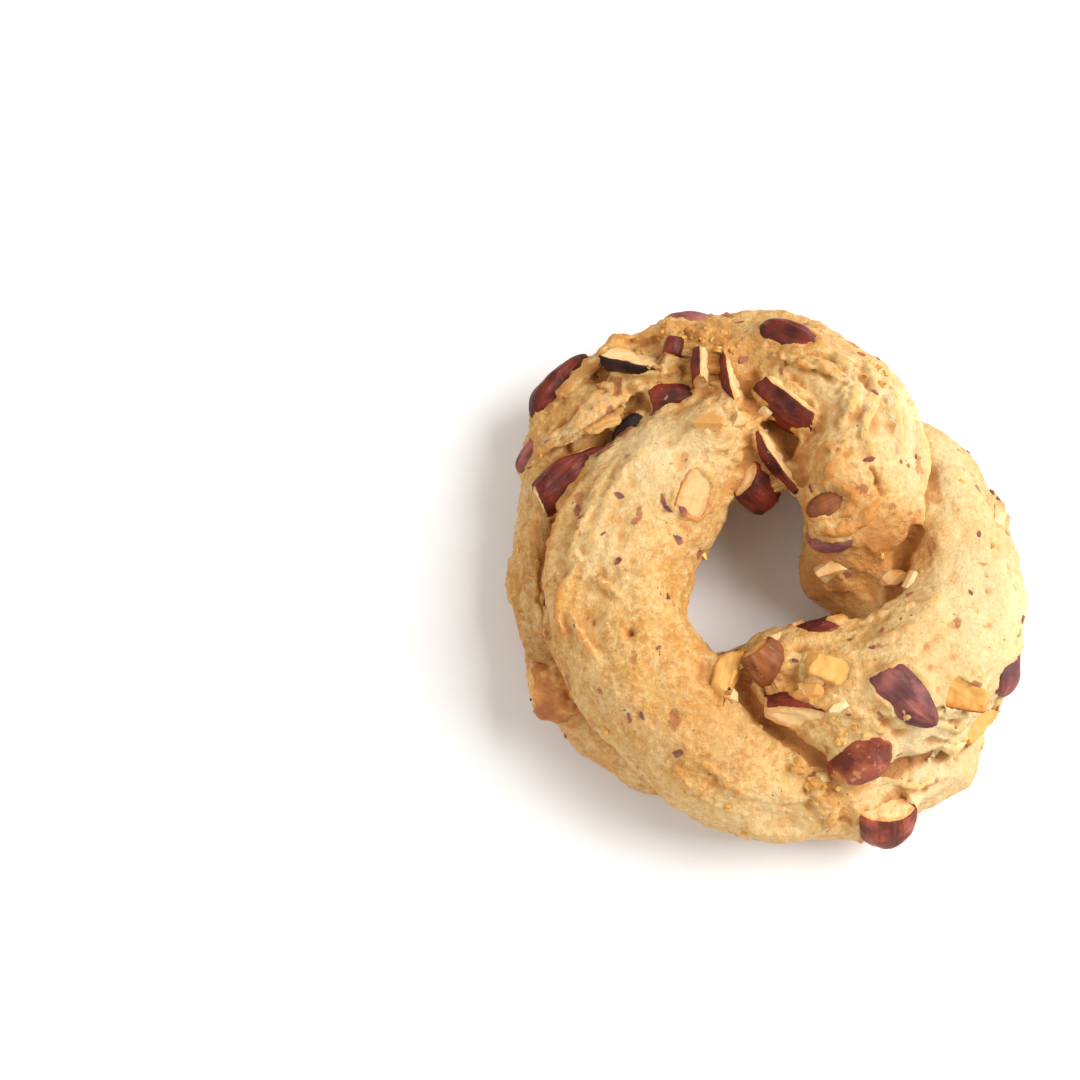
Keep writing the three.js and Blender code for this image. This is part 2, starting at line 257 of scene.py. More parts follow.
almond_materials = {}
for finish, (skin_hue, dark_hue, flesh_hue, rim_hue, ribbing) in ALMOND_FINISHES.items():
    # Roasted almond: papery skin, dull red-brown in cloudy patches with faint ribs along the kernel;
    # the cut flesh is waxy and toasted at its rim
    material, tree, shader = new_material(f"roasted_almond_{finish}")
    kernel = add_node(tree, "ShaderNodeAttribute", {}, attribute_name="kernel").outputs["Vector"]
    depth = add_node(tree, "ShaderNodeAttribute", {}, attribute_name="depth").outputs["Fac"]
    drawn_out = add_node(tree, "ShaderNodeMapping", {
        "Vector": kernel, "Scale": (1 / STREAK_LENGTH, STREAKS_PER_MM, STREAKS_PER_MM),
    }).outputs[0]
    ribs, clouds, specks = (
        add_node(tree, "ShaderNodeTexNoise", {
            "Vector": where, "Scale": 1 / size, "Detail": detail,
        }).outputs["Fac"]
        for where, size, detail in [
            (drawn_out, 1, 4.0), (kernel, CLOUD_SIZE, 4.0), (kernel, SPECK_SIZE, 3.0),
        ]
    )
    uneven = add_node(tree, "ShaderNodeMath", {0: specks, 1: 2.2, 2: -1.1}, operation="MULTIPLY_ADD")
    from_rim = add_node(tree, "ShaderNodeMath", {0: depth, 1: uneven.outputs[0]}, operation="ADD")
    flesh = layered(tree, linear(rim_hue), [(from_rim.outputs[0], 0.2, 1.4, 1.0, linear(flesh_hue))])
    skin_layers = [
        (clouds, 0.40, 0.62, 0.9, linear(dark_hue)),
        (ribs, 0.52, 0.68, ribbing, linear(dark_hue)),
        (specks, 0.68, 0.74, 0.35, linear("#D8AE80")),
    ]
    if finish in PATCHY:
        skin_layers.append((clouds, 0.42, 0.39, 0.8, linear(flesh_hue)))
    skin = layered(tree, linear(skin_hue), skin_layers)
    edge = add_node(tree, "ShaderNodeMath", {0: specks, 1: 0.5, 2: 0.05}, operation="MULTIPLY_ADD")
    below = add_node(tree, "ShaderNodeMath", {0: depth, 1: edge.outputs[0]}, operation="SUBTRACT")
    hue = layered(tree, skin, [(below.outputs[0], -0.04, 0.06, 1.0, flesh)])
    tree.links.new(hue, shader.inputs["Base Color"])
    sheen = add_node(tree, "ShaderNodeMapRange", {0: clouds, 1: 0.35, 2: 0.65, 3: 0.42, 4: 0.58})
    tree.links.new(sheen.outputs[0], shader.inputs["Roughness"])
    shader.inputs["IOR"].default_value = 1.47
    shader.inputs["Specular IOR Level"].default_value = 0.3
    bump = add_node(tree, "ShaderNodeBump", {"Height": ribs, "Distance": 0.35 * MM, "Strength": 0.8})
    tree.links.new(bump.outputs[0], shader.inputs["Normal"])
    almond_materials[finish] = material

almond_trees = []  # each almond's surface, and the low and high corners of its box
for name, middle, (heading, pitch, roll), (first, last), slant, cut, size, finish in ALMONDS:
    half = np.array(KERNEL) * size / 2
    bm = bmesh.new()
    bmesh.ops.create_uvsphere(bm, u_segments=48, v_segments=32, radius=1)
    for vert in bm.verts:
        across, through, along = vert.co
        slim = 1 - KERNEL_TAPER * along
        wide = math.hypot(across, through) or 1
        lens = math.copysign(wide * (abs(through) / wide) ** KERNEL_RIM, through)
        vert.co = (along * half[0], across * slim * half[1], lens * slim * half[2])
    uncut = BVHTree.FromBMesh(bm)
    lean = math.radians(slant)
    ends = [  # the knife leans, and not alike at both ends
        (math.cos(lean), math.sin(lean), 0.4 * math.sin(lean), last),
        (-math.cos(lean), 0.6 * math.sin(lean), -0.4 * math.sin(lean), -first),
    ]
    for *direction, distance in ends + CUTS[cut]:
        cut_off(bm, direction, distance * size)
    bmesh.ops.recalc_face_normals(bm, faces=bm.faces)
    mesh = fine_skin(bm, ALMOND_STEP, ALMOND_ROUNDS)
    spots, facing = points_of(mesh)
    depth = np.array([uncut.find_nearest(spot)[3] for spot in spots.tolist()])
    turn = np.arctan2(spots[:, 2] / half[2], spots[:, 1] / half[1])
    rib_place = np.stack(
        [spots[:, 0] / RIB_STRETCH, RIB_ROUND * np.cos(turn), RIB_ROUND * np.sin(turn)], 1) + middle
    is_skin = (1 - step_up(depth, *SKIN_ENDS)) * (finish != SKINNED)
    ribbed = grain(rib_place, *RIBS) + grain(rib_place, *FINE_RIBS)
    rise = is_skin * (ribbed + grain(spots + middle, *DENTS))
    chipped = grain(spots + middle, *CHIPPING) + grain(spots + middle, *SPLINTERS)
    rise += (1 - is_skin) * chipped * (SKINNED_ROUGHNESS if finish == SKINNED else 1)
    lie = Euler((math.radians(roll), math.radians(-pitch), math.radians(heading)), "XYZ").to_matrix()
    put = (spots + facing * rise[:, None]) @ np.array(lie).T + middle
    mesh.vertices.foreach_set("co", put.astype(np.float32).ravel())
    keep_value(mesh, "depth", depth)
    mesh.attributes.new("kernel", "FLOAT_VECTOR", "POINT").data.foreach_set(
        "vector", (spots + middle).astype(np.float32).ravel())
    mesh.update()
    mesh.shade_smooth()
    surface = BVHTree.FromPolygons(put.tolist(), [face.vertices for face in mesh.polygons])
    almond_trees.append((surface, put.min(0), put.max(0)))
    slot = "almond_flesh" if finish in ALL_FLESH else "almond_skin"
    piece = add_piece(f"almond_{name}_chopped", mesh, almond_materials[finish])
    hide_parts(f"almond_{name}")

# Chips of almond: splinters off the knife, cream or toasted gold, flat-sided and sharp-cornered, that
# baked fast to the dough where it was torn
CHIPS = [  # place, heading, length
    (-5, 24.5, 28.5, 50, 4.5), (-9.5, 23.5, 30, 20, 6), (0, 28, 25, 60, 4.5), (11.5, 1, 18.5, 30, 6.5),
    (22, -0.5, 16.5, 35, 5), (25, -2, 20, 60, 4), (41, 11.5, 14.5, 80, 5), (32, -30.5, 16.8, 50, 4.5),
    (1, -13, 21.7, 20, 4), (-6, -23, 21.1, 90, 3.5), (12, -26.5, 27.2, 30, 3.5), (7.5, -23, 26.2, 10, 4.5),
    (5, -35, 20.6, 40, 3.5), (10, -36.5, 18.8, 15, 4), (10.5, -42, 17.3, 70, 3.5),
]
CHIP_SIZE = (0.47, 0.29, 0.23)  # half its length, width and thickness against its length
CHIP_CUTS, CHIP_CUT_AT = 7, (0.65, 0.95)  # cuts round a chip, and how near its middle they pass
CHIP_TILT = 0.25  # how far off level chips lie, in radians
draw = random.Random(7)


def random_step():
    """A step in any direction, drawn at random."""
    return Vector((draw.gauss(0, 1), draw.gauss(0, 1), draw.gauss(0, 1)))


def add_copy(bm, part):
    """Put a copy of one bmesh into another."""
    mesh = bpy.data.meshes.new("copy")
    part.to_mesh(mesh)
    bm.from_mesh(mesh)
    bpy.data.meshes.remove(mesh)


chips = bmesh.new()
for *spot, heading, length in CHIPS:
    chip = bmesh.new()
    bmesh.ops.create_cube(chip, size=2)
    for _ in range(CHIP_CUTS):
        cut_off(chip, random_step(), draw.uniform(*CHIP_CUT_AT))
    bmesh.ops.bevel(
        chip, geom=chip.edges[:], offset=0.06, offset_type="OFFSET", segments=1, profile=0.5,
        affect="EDGES", material=-1, clamp_overlap=True,
    )
    lie = Euler((draw.gauss(0, CHIP_TILT), draw.gauss(0, CHIP_TILT), math.radians(heading)), "XYZ")
    stretch = Matrix.Diagonal([length * share for share in CHIP_SIZE] + [1])
    put = Matrix.Translation(spot) @ lie.to_matrix().to_4x4() @ stretch
    bmesh.ops.transform(chip, matrix=put, verts=chip.verts)
    add_copy(chips, chip)
    chip.free()
bmesh.ops.recalc_face_normals(chips, faces=chips.faces)
chip_tree = BVHTree.FromBMesh(chips)
# Almond flesh: waxy cream, toasted to gold in patches
chip_flesh, tree, shader = new_material("chopped_almond_flesh")
where = add_node(tree, "ShaderNodeTexCoord", {}).outputs["Object"]
tint = add_node(tree, "ShaderNodeTexNoise", {"Vector": where, "Scale": 1 / (5 * MM), "Detail": 4.0})
hue = layered(tree, linear("#EBCB92"), [(tint.outputs["Fac"], 0.42, 0.6, 1.0, linear("#D79A50"))])
tree.links.new(hue, shader.inputs["Base Color"])
shader.inputs["Roughness"].default_value = 0.45
rough = add_node(tree, "ShaderNodeTexNoise", {"Vector": where, "Scale": 1 / (0.9 * MM), "Detail": 3.0})
bump = add_node(tree, "ShaderNodeBump", {
    "Height": rough.outputs["Fac"], "Distance": 0.4 * MM, "Strength": 0.5,
})
tree.links.new(bump.outputs[0], shader.inputs["Normal"])
add_piece("almond_chips", mesh_of(chips), chip_flesh)

# The dough ring: a strand of soft lard dough with pepper, rolled out, doubled, twisted and closed,
# then baked on a tray. The solid dough gets a fine skin that closes round every almond, strips that
# were pulled up and torn lie on it, and the marks of kneading and baking are worked in.
BODY_STEP, BODY_ROUNDS = 0.7, 12  # size of the faces of the plain body, and how often it is evened out
SKIN_STEP, SKIN_ROUNDS = 0.43, 2  # the same for the skin over body and strips
KEPT_FACES = 0.58  # share of the skin's faces that is kept, fewest where it is flat
POCKET_FILL = 0.7  # dough drawn up over an almond before it is drawn back
SHARPEST = 2.5  # how much further than a flat face a corner may move out for that
STRAND = [  # angle round the ring, distance from its middle, height, half width, half thickness
    (103, 25, 19, 8.2, 9), (130, 24, 19.5, 12, 9.5), (180, 26, 19, 13, 10), (215, 28, 18.5, 12, 10),
    (255, 33, 15, 11.5, 9.5), (285, 36.5, 10, 11, 9), (312, 38, 7.5, 10.5, 8.5), (338, 28, 7.5, 10, 8.5),
    (358, 18, 8.5, 9.5, 8.5), (382, 16.5, 14, 10, 8.5), (402, 22.5, 19.5, 11.5, 9.5),
    (425, 32, 19.5, 11.5, 9.5), (455, 40, 15, 10.5, 9.5), (495, 43, 9.2, 10.5, 9.9),
    (530, 38, 8.5, 9, 8.5), (570, 35.5, 7.5, 9.5, 8.5), (600, 31.5, 7.5, 10.5, 8.5),
    (622, 19.5, 11, 9.5, 8.5), (645, 21, 16, 10.5, 9), (672, 29.5, 19.5, 12.5, 9.5),
    (705, 34.5, 16.5, 11.5, 9.5), (735, 33.5, 12.5, 10, 9), (762, 33, 9, 9.5, 8.5),
    (790, 30, 7.5, 9.5, 8.5),
]
TURNS = [(0, 8), (8, 17), (17, 24)]  # the rows of each turn over the ring
SPAN_STEPS = 10  # steps from one row to the next
STRAND_ROUND, MARK_STRETCH = 10, 7  # radius of the strand, and how far marks are drawn out along it
CRAGS = [  # torn, crumbly places: x, y, z, reach
    (-22, 38, 22, 5), (-12, 41, 23.5, 7), (-7, 37, 25, 6), (4, 36, 28, 6), (16, 31, 28, 5),
    (12, 13, 29, 5), (7, -21, 25, 6), (11, -40, 18, 5), (-40, 26, 15, 4), (33, -30, 17, 6),
    (-3, 19, 24, 5), (20, -29, 26, 4), (-31, 32, 19, 5), (-33, 40, 16, 4),
]
CRUMBLY = [  # crusty places with loose crumbs: x, y, z, reach
    (-12, 41.5, 23.5, 2.8), (-8, 39.5, 24.6, 2.6), (-17, 43, 22, 2.4), (11.5, -29.5, 25, 2),
    (9, -39, 19, 2.4), (-39.5, 22.5, 16.5, 1.8), (20, 33, 26, 2),
]
STRIPS = [  # strips pulled up: half width, half thickness, lift, tilt in degrees, points along them
    (3.8, 0.9, 1.6, 22, (-41, 22.2, 16), (-38.6, 24, 17.9), (-35, 25.2, 19.3), (-32, 26.6, 19),
     (-29.8, 28.4, 19.3), (-27.2, 31.6, 19), (-24.4, 33.4, 19.2), (-20.6, 34.2, 20.4)),
    (1.6, 1.2, 1.5, -12, (-30.4, 34, 19.4), (-26.6, 35, 19.9), (-22.6, 34.8, 20.2),
     (-19, 36.4, 20.5), (-16, 36.9, 22), (-12.6, 35.6, 22.8)),
    (1.7, 1.2, 1.2, 8, (-37, 32.6, 17), (-34.4, 35.9, 17.2), (-31.5, 38.1, 17.6), (-29.6, 40.6, 18.8),
     (-27.6, 43.2, 19.4), (-23, 45.2, 19.6)),
    (1.5, 1, 0.9, 14, (-26, 44.6, 19.4), (-21, 45.6, 20.2), (-17, 44.8, 21.4), (-12.6, 43.4, 22.6)),
    (1.2, 0.8, 0.8, 18, (-13.6, 42.2, 22.9), (-11, 42.4, 23.2), (-8.6, 40.8, 23.9), (-6.4, 38.6, 24.9)),
    (1.4, 0.8, 0.8, 20, (0.2, 38, 26.2), (4.1, 36.2, 27.4), (8.4, 35.4, 28.2), (11.6, 33.6, 28.5),
     (13.2, 31, 28.8)),
    (1.5, 0.8, 0.6, -24, (12.1, 37.5, 28), (14.4, 33.6, 28.3), (15.4, 29.7, 29), (14.6, 25.6, 29.8),
     (12.4, 23, 29.6)),
    (1.4, 0.8, 0.6, -24, (17.2, 36, 26.4), (18.4, 31.4, 27.6), (18.2, 26.4, 29.4), (16.4, 20.6, 30.6)),
    (1.5, 0.8, 0.6, -22, (20.6, 34.1, 25), (21.8, 28, 27.3), (22.4, 22.7, 27.8), (21.6, 17.4, 27.8)),
    (1.7, 0.8, 0.6, -20, (25.4, 26, 25), (26.6, 21.6, 24), (28, 16.6, 20.4), (27.8, 10.8, 20.8),
     (26.4, 6.4, 20.6)),
    (1.2, 0.7, 0.7, 20, (4.6, 20.4, 25), (7.2, 19.6, 27.4), (10.2, 19.2, 30.8), (13, 18.2, 31.1)),
    (1.4, 0.8, 0.6, 25, (6.6, 14.4, 26), (6.9, 11, 27), (8.4, 7.4, 26.6), (11.2, 5.6, 26.2),
     (14.6, 5.8, 26.4), (17.6, 8, 27.2), (19.4, 11, 28)),
    (2, 1.1, 0.1, 0, (-44.8, 6, 11), (-44.8, -3, 11), (-43, -10, 11.5), (-41, -15, 12)),
    (1.6, 1, 0.1, 0, (-40.4, 6, 17), (-40.6, -1, 16.8), (-39.8, -7.2, 17), (-37.9, -13.5, 20.9),
     (-36.1, -18.3, 22.2)),
    (0.9, 0.8, 0.4, 10, (-32.1, 3.5, 26.9), (-32.8, -1.6, 26.6), (-34.9, -4.6, 25.8), (-36.1, -7.2, 25.2),
     (-36.4, -11, 24.9), (-35, -15.2, 25.3)),
    (1.1, 0.6, 0.4, -28, (-34.6, -7.6, 26.2), (-33.5, -11.9, 26.4), (-31.3, -15.3, 27.1),
     (-28.6, -18.4, 27.6)),
    (0.8, 0.5, 0.35, 22, (-33, -3, 26.4), (-29.8, -3.6, 26.7), (-27.3, -5.3, 26.9), (-24.6, -7.6, 27.6)),
    (0.9, 0.5, 0.2, 22, (-12, -34.6, 24.2), (-8.6, -37.2, 23.6), (-5.6, -39.3, 22.7), (-2.6, -41.4, 21.6)),
    (0.7, 0.4, 0.15, 0, (-16.6, -35.6, 23.6), (-15.2, -37.6, 23.1), (-13.4, -39.9, 22.4)),
    (1.2, 0.9, 0.6, 22, (15.4, -35.8, 18.8), (19.3, -36.6, 17.2), (22.7, -36.6, 16.4), (26.2, -36.4, 15.2),
     (30.6, -35.4, 14)),
    (0.6, 0.5, 0.4, 0, (27.6, -26.4, 25.8), (32.6, -26.2, 23), (36, -25, 19)),
    (0.6, 0.5, 0.4, 0, (28, -28.4, 24.6), (31.4, -28.3, 22), (33.6, -27.9, 19.6)),
    (0.5, 0.4, 0.3, 0, (27.4, -30.2, 23.1), (30.8, -29.9, 18.9), (33.4, -29.9, 15)),
    (1.7, 1.3, 0.7, 0, (7.6, -36.6, 19.8), (9.3, -40, 18.6), (10.4, -42.4, 17.7), (10.6, -44.2, 14.8)),
    (1.2, 0.9, 0.5, 0, (3.4, -36.6, 21), (6.4, -35.2, 20.2), (9.4, -34.8, 19.3)),
    (1, 0.6, 0.2, -15, (11, -10.2, 21.2), (16.7, -9.2, 23), (22.7, -8.5, 24.9), (30, -7.6, 26.2)),
    (0.8, 0.4, 0.1, 0, (14.1, -15.4, 25.6), (20.8, -13.8, 28.3), (27.6, -12, 28.1), (35.6, -8, 25.1)),
    (0.9, 0.5, 0.2, -15, (4.4, -22.8, 26), (10.6, -24.8, 27.4), (15.6, -27.8, 27), (21.6, -31, 24.4)),
    (0.6, 0.5, 0.5, 0, (40.8, -12.6, 18.6), (42.6, -11.2, 19.6), (44.4, -10, 20.6)),
    (1.6, 0.7, 0.1, 12, (-30.7, 17.3, 23.5), (-34.5, 10.8, 23.7), (-37, 3.6, 23.3), (-38.3, -4.5, 22.8)),
    (1.4, 0.7, 0.2, 15, (-26.6, 18, 25.8), (-30.4, 10.8, 26.7), (-32.9, 3.3, 27.2), (-34.4, -2.6, 25.7)),
    (1.2, 0.5, 0, 10, (-21.2, 19.8, 28.1), (-26.2, 12.9, 28.4), (-28.8, 6.5, 28.7)),
    (1.2, 0.6, 0, 0, (-41.6, 6.4, 17), (-42.8, -0.3, 14.6), (-42.6, -7.2, 12.8), (-41.4, -13.3, 11.7)),
    (1, 0.8, 0.3, 0, (32.6, -18.8, 27), (35, -19.8, 26), (37.6, -21.6, 24.4)),
    (0.8, 0.4, 0.6, 32, (10.4, 17, 31), (12, 18, 31.2), (13.6, 19.6, 31.1)),
    (0.7, 0.4, 0.6, 32, (21.6, 31.2, 26.3), (22.7, 29.6, 26.1), (23.4, 27.4, 26.2)),
    (0.7, 0.4, 0.6, -32, (17, 21, 30.4), (17.4, 19, 30.5), (17.2, 16.6, 30.4)),
    (0.9, 0.4, 0.5, -32, (28.9, 15, 20), (28.5, 11.9, 19.6), (27.6, 8.8, 19.6)),
    (0.6, 0.4, 0.5, 32, (25, 30.4, 23.8), (25.8, 29.2, 23.5), (26.4, 27.4, 23.6)),
]
STRIP_STEP, STRIP_SIDES, FEWEST_RINGS = 0.8, 10, 8  # length of a ring of faces, faces in it, rings at least
STRIP_ROUNDS = 4  # how often the line of a strip is evened out
BLUNT = 0.4  # how blunt its ends are
MOST_RAGGED = 2  # a strip with a larger half width is no more ragged than one with this
WAVER, FRAY, FINE_FRAY = (3, 0.3), (2.2, 0.4), (0.9, 0.25)  # width, and share of its half width
SIDES_APART = 9  # so that its two sides fray differently
TORN_LENGTH, TORN_WIDTH = (3, 8), (0.5, 1.2)  # small strips in the crags, drawn at random
TORN_THICKNESS, TORN_LIFT, TORN_TILT = (0.35, 0.6), (0.1, 0.5), 22
TORN_SPREAD, TORN_TURN = 0.45, 0.5  # how far off the crag's middle, against its reach, and off the strand
CLEAR_OF_ALMONDS = 2.5  # such strips keep this far off
GROOVES = [  # clefts under lifted edges and slots: reach, depth, points along them
    (1.4, 3.4, (-38.9, 19.7, 16.8), (-36.7, 20.9, 17.9), (-33, 22.1, 19.3), (-30, 23.5, 19),
     (-27.5, 25.5, 19.3), (-24.6, 28.8, 18.8)),
    (1.3, 3, (-29.9, 36.5, 19.4), (-28.4, 38, 19.6), (-26.5, 37.6, 20.2), (-22.6, 37, 21),
     (-18.8, 38.4, 21.4)),
    (0.8, 1.6, (-36.4, 27.6, 17.8), (-36, 23.6, 18.2)),
    (0.9, 1.6, (-40.4, -8.5, 17), (-38.9, -13.4, 19.5), (-37, -18, 20)),
    (0.5, 1.1, (18, 15.3, 30.1), (18.9, 14.3, 29.6), (19.2, 12.9, 28.9)),
    (0.7, 0.9, (19.2, 12.9, 28.9), (20, 11.3, 28)),
    (1, 1.4, (6.2, 22.4, 26), (8.6, 24, 28.4), (9.4, 27, 29)),
    (1, 2.4, (-2.7, 34.4, 25.5), (-2.3, 31.4, 25.5)),
    (1.4, 3, (0.2, 25.6, 24), (3.7, 23.6, 24)),
]
HOLLOWS = [  # dents and pits, and a lump that stands out: x, y, z, reach, depth
    (13, 10.5, 28.5, 4.5, -1.2), (-23.4, -13.5, 28.3, 0.9, 2.2), (-23.6, -9.9, 28.1, 2.6, 0.9),
    (-30.4, -10.2, 26.8, 2.6, 1.1),
    (27.6, -31.2, 21.3, 2, 1), (-9.4, -38.4, 23.2, 1.6, 0.7), (21.4, 2.2, 18.4, 3, 1),
    (17, -1.5, 17, 2.5, 1.2), (-35.6, 27.6, 18, 1.4, 1.6),
]
BARE = [  # where dough was wiped off an almond or closed over it: x, y, z, reach, how much
    (20, -40.4, 15.4, 3.6, 3), (36.8, -27.4, 15.4, 2.6, 3), (29.3, -17.2, 27.9, 2.2, -3),
    (-25.2, 25.8, 19.4, 3.2, 3), (-22, 31.8, 19.4, 2.4, -5), (12.4, 8, 26.2, 3.4, -4),
    (11.2, 9.8, 29.2, 2.4, 5), (-12.6, 17.9, 27.5, 1.8, -3), (-7, -23.2, 23.4, 2.6, 4),
    (-19.3, 38, 22, 2.4, 3),
]
BROWNING_AND_PAINTED_LIGHT = [  # paler and browner places, some of them painted light and shade: x, y, z, reach, how much browner
    # browner inside the left turn is painted shade; paler on the right, where the light is strongest, is
    # partly painted light
    (-11, 6, 23, 9, 0.3), (38, -8, 18, 16, -0.9), (27, -33, 18, 13, -1), (28, 22, 22, 11, -0.9),
    # paler on the upper and middle left turn, where the light falls, is painted light; paler on the right
    # is partly painted light
    (18, 30, 27, 9, -0.7), (2, -43, 16, 8, -0.4), (-18, 18, 29, 11, -0.7), (-29, 2, 27, 7, -0.4),
    # browner in the clefts beside the almonds at the top is painted shade
    (-30, 30, 20, 7, -0.3), (-28, 24.5, 18.5, 2.4, 1.2), (1.5, 24.5, 23, 2.4, 1),
    # browner down in the hole and under the lump is partly painted shade
    (10, -1, 14, 9, 1), (22, 2, 18, 7, 0.6), (19, 5.5, 23, 6, 0.9), (-38, -20, 8, 12, 0.5),
    # the last spot, browner on the lower part of the left turn, is painted shade
    (-8, 40, 24, 8, 0.4), (-37, 10, 15, 9, 0.2), (13, 11, 28, 5, 0.5), (-14, -26, 26, 10, 0.2),
    (-5, -33, 24, 8, 0.2),
]


def mound(points, middle, reach):
    """1 at the middle of a rounded mound, falling off to 0 round it."""
    return np.exp(-((points - middle) ** 2).sum(1) / reach**2)


def off_line(points, line):
    """How far each point is from a line through some places."""
    line = np.array(line, float)
    far = []
    for start, along in zip(line, np.diff(line, axis=0)):
        share = np.clip((points - start) @ along / (along @ along), 0, 1)
        far.append(np.linalg.norm(points - start - share[:, None] * along, axis=1))
    return np.min(far, 0)


def unit(vectors):
    """Directions of length 1."""
    return vectors / np.linalg.norm(vectors, axis=1)[:, None]


def eased(values, edges, rounds):
    """Values at the points of a mesh, averaged along its edges."""
    count = np.bincount(edges.ravel(), minlength=len(values))[:, None]
    for _ in range(rounds):
        total = np.stack([
            np.bincount(edges[:, 0], column[edges[:, 1]], len(values))
            + np.bincount(edges[:, 1], column[edges[:, 0]], len(values))
            for column in values.T
        ], 1)
        values = (values + total / np.maximum(count, 1)) / 2
    return values


def spots_tree(spots):
    """A tree that finds the spot nearest to a place."""
    tree = KDTree(len(spots))
    for i, spot in enumerate(spots):
        tree.insert(spot, i)
    tree.balance()
    return tree


# The plain body: the dough and the almonds in it, each a little fuller, under one skin
lump = bmesh.new()
bare_dough = bmesh.new()
for name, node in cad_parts.items():
    part = bmesh.new()
    part.from_mesh(node.data)
    bmesh.ops.remove_doubles(part, verts=part.verts, dist=1e-6)
    bmesh.ops.transform(part, matrix=TO_FRAME.inverted(), verts=part.verts)
    part.normal_update()
    if name == "dough":
        add_copy(bare_dough, part)
    else:
        for vert in part.verts:
            vert.co += vert.normal * POCKET_FILL * min(vert.calc_shell_factor(), SHARPEST)
    add_copy(lump, part)
    part.free()
body_mesh = fine_skin(lump, BODY_STEP, BODY_ROUNDS)
body = bmesh.new()
body.from_mesh(body_mesh)
body_tree = BVHTree.FromBMesh(body)
bpy.data.meshes.remove(body_mesh)

# The route of the strand, with its directions ahead, sideways and upwards
rows = np.array(STRAND, float)
angle = np.radians(rows[:, 0])
knots = np.column_stack([rows[:, 1] * np.cos(angle), rows[:, 1] * np.sin(angle), rows[:, 2:]])
before, here, after, beyond = (np.roll(knots, shift, 0)[:, None] for shift in (1, 0, -1, -2))
s = (np.arange(SPAN_STEPS) / SPAN_STEPS)[None, :, None]
route = 0.5 * (2 * here + (after - before) * s + (2 * before - 5 * here + 4 * after - beyond) * s**2
               + (3 * here - before - 3 * after + beyond) * s**3)
route, girth = np.split(route.reshape(-1, 5), [3], 1)
ahead = unit(np.roll(route, -1, 0) - np.roll(route, 1, 0))
along_route = np.concatenate([[0], np.cumsum(np.linalg.norm(np.diff(route, axis=0), axis=1))])
side = unit(np.cross(ahead, (0, 0, 1)))
top = np.cross(side, ahead)


def lay_strip(bm, half_width, half_thickness, lift, tilt, line):
    """A strip of dough, blunt at both ends and frayed at its sides, laid along a line on the body."""
    line = np.array(line, float)
    far = np.concatenate([[0], np.cumsum(np.linalg.norm(np.diff(line, axis=0), axis=1))])
    rings = max(FEWEST_RINGS, int(far[-1] / STRIP_STEP))
    middle = np.stack([np.interp(np.linspace(0, far[-1], rings + 1), far, axis) for axis in line.T], 1)
    found = [body_tree.find_nearest(spot) for spot in middle.tolist()]
    path = np.array([list(spot) + list(facing) for spot, facing, _, _ in found])
    for _ in range(STRIP_ROUNDS):
        path[1:-1] = (path[:-2] + 2 * path[1:-1] + path[2:]) / 4
    on, facing = path[:, :3], unit(path[:, 3:])
    right = unit(np.cross(np.gradient(on, axis=0), facing))
    unruly = min(half_width, MOST_RAGGED)
    size, share = WAVER
    on = on + right * grain(on + 11, size, share * unruly)[:, None]
    lean = math.radians(tilt)
    across = right * math.cos(lean) + facing * math.sin(lean)
    upward = facing * math.cos(lean) - right * math.sin(lean)
    made = bmesh.ops.create_uvsphere(bm, u_segments=STRIP_SIDES, v_segments=rings, radius=1)
    for vert in made["verts"]:
        i = round(math.acos(max(-1, min(1, -vert.co.z))) / math.pi * rings)
        fuller = max(math.hypot(vert.co.x, vert.co.y), 1e-3) ** -BLUNT
        edge = on[i] + right[i] * math.copysign(SIDES_APART, vert.co.x)
        fray = sum(share * noise.noise(edge / size) for size, share in (FRAY, FINE_FRAY))
        width = half_width + unruly * fray
        vert.co = Vector(
            on[i] + facing[i] * lift + across[i] * vert.co.x * fuller * width
            + upward[i] * vert.co.y * fuller * half_thickness)


strips = bmesh.new()
for half_width, half_thickness, lift, tilt, *line in STRIPS:
    lay_strip(strips, half_width, half_thickness, lift, tilt, line)
route_tree = spots_tree(route)
for *spot, reach in CRAGS:
    for _ in range(round(reach)):
        aim = Vector(spot) + random_step() * reach * TORN_SPREAD
        on, facing, _, _ = body_tree.find_nearest(aim)
        way = Vector(ahead[route_tree.find(on)[1]])
        way.rotate(Matrix.Rotation(draw.gauss(0, TORN_TURN), 3, facing))
        way *= draw.uniform(*TORN_LENGTH) / 2
        line = [on - way, on, on + way]
        width, tilt = draw.uniform(*TORN_WIDTH), draw.gauss(0, TORN_TILT)
        if all(
            almond.find_nearest(point, CLEAR_OF_ALMONDS)[0] is None
            for almond, _, _ in almond_trees for point in line
        ):
            thickness, lift = draw.uniform(*TORN_THICKNESS), draw.uniform(*TORN_LIFT)
            lay_strip(strips, width, thickness, lift, tilt, line)
bmesh.ops.recalc_face_normals(strips, faces=strips.faces)
add_copy(bare_dough, strips)
add_copy(body, strips)
strips.free()
dough_tree = BVHTree.FromBMesh(bare_dough)
bare_dough.free()
dough_mesh = fine_skin(body, SKIN_STEP, SKIN_ROUNDS)
place, outward = points_of(dough_mesh)
edges = np.array([edge.vertices for edge in dough_mesh.edges])
off_dough = np.array([dough_tree.find_nearest(p)[3] for p in place.tolist()])
off_dough += sum(amount * mound(place, spot, reach) for *spot, reach, amount in BARE)
lifted = np.array([body_tree.find_nearest(p)[3] for p in place.tolist()])

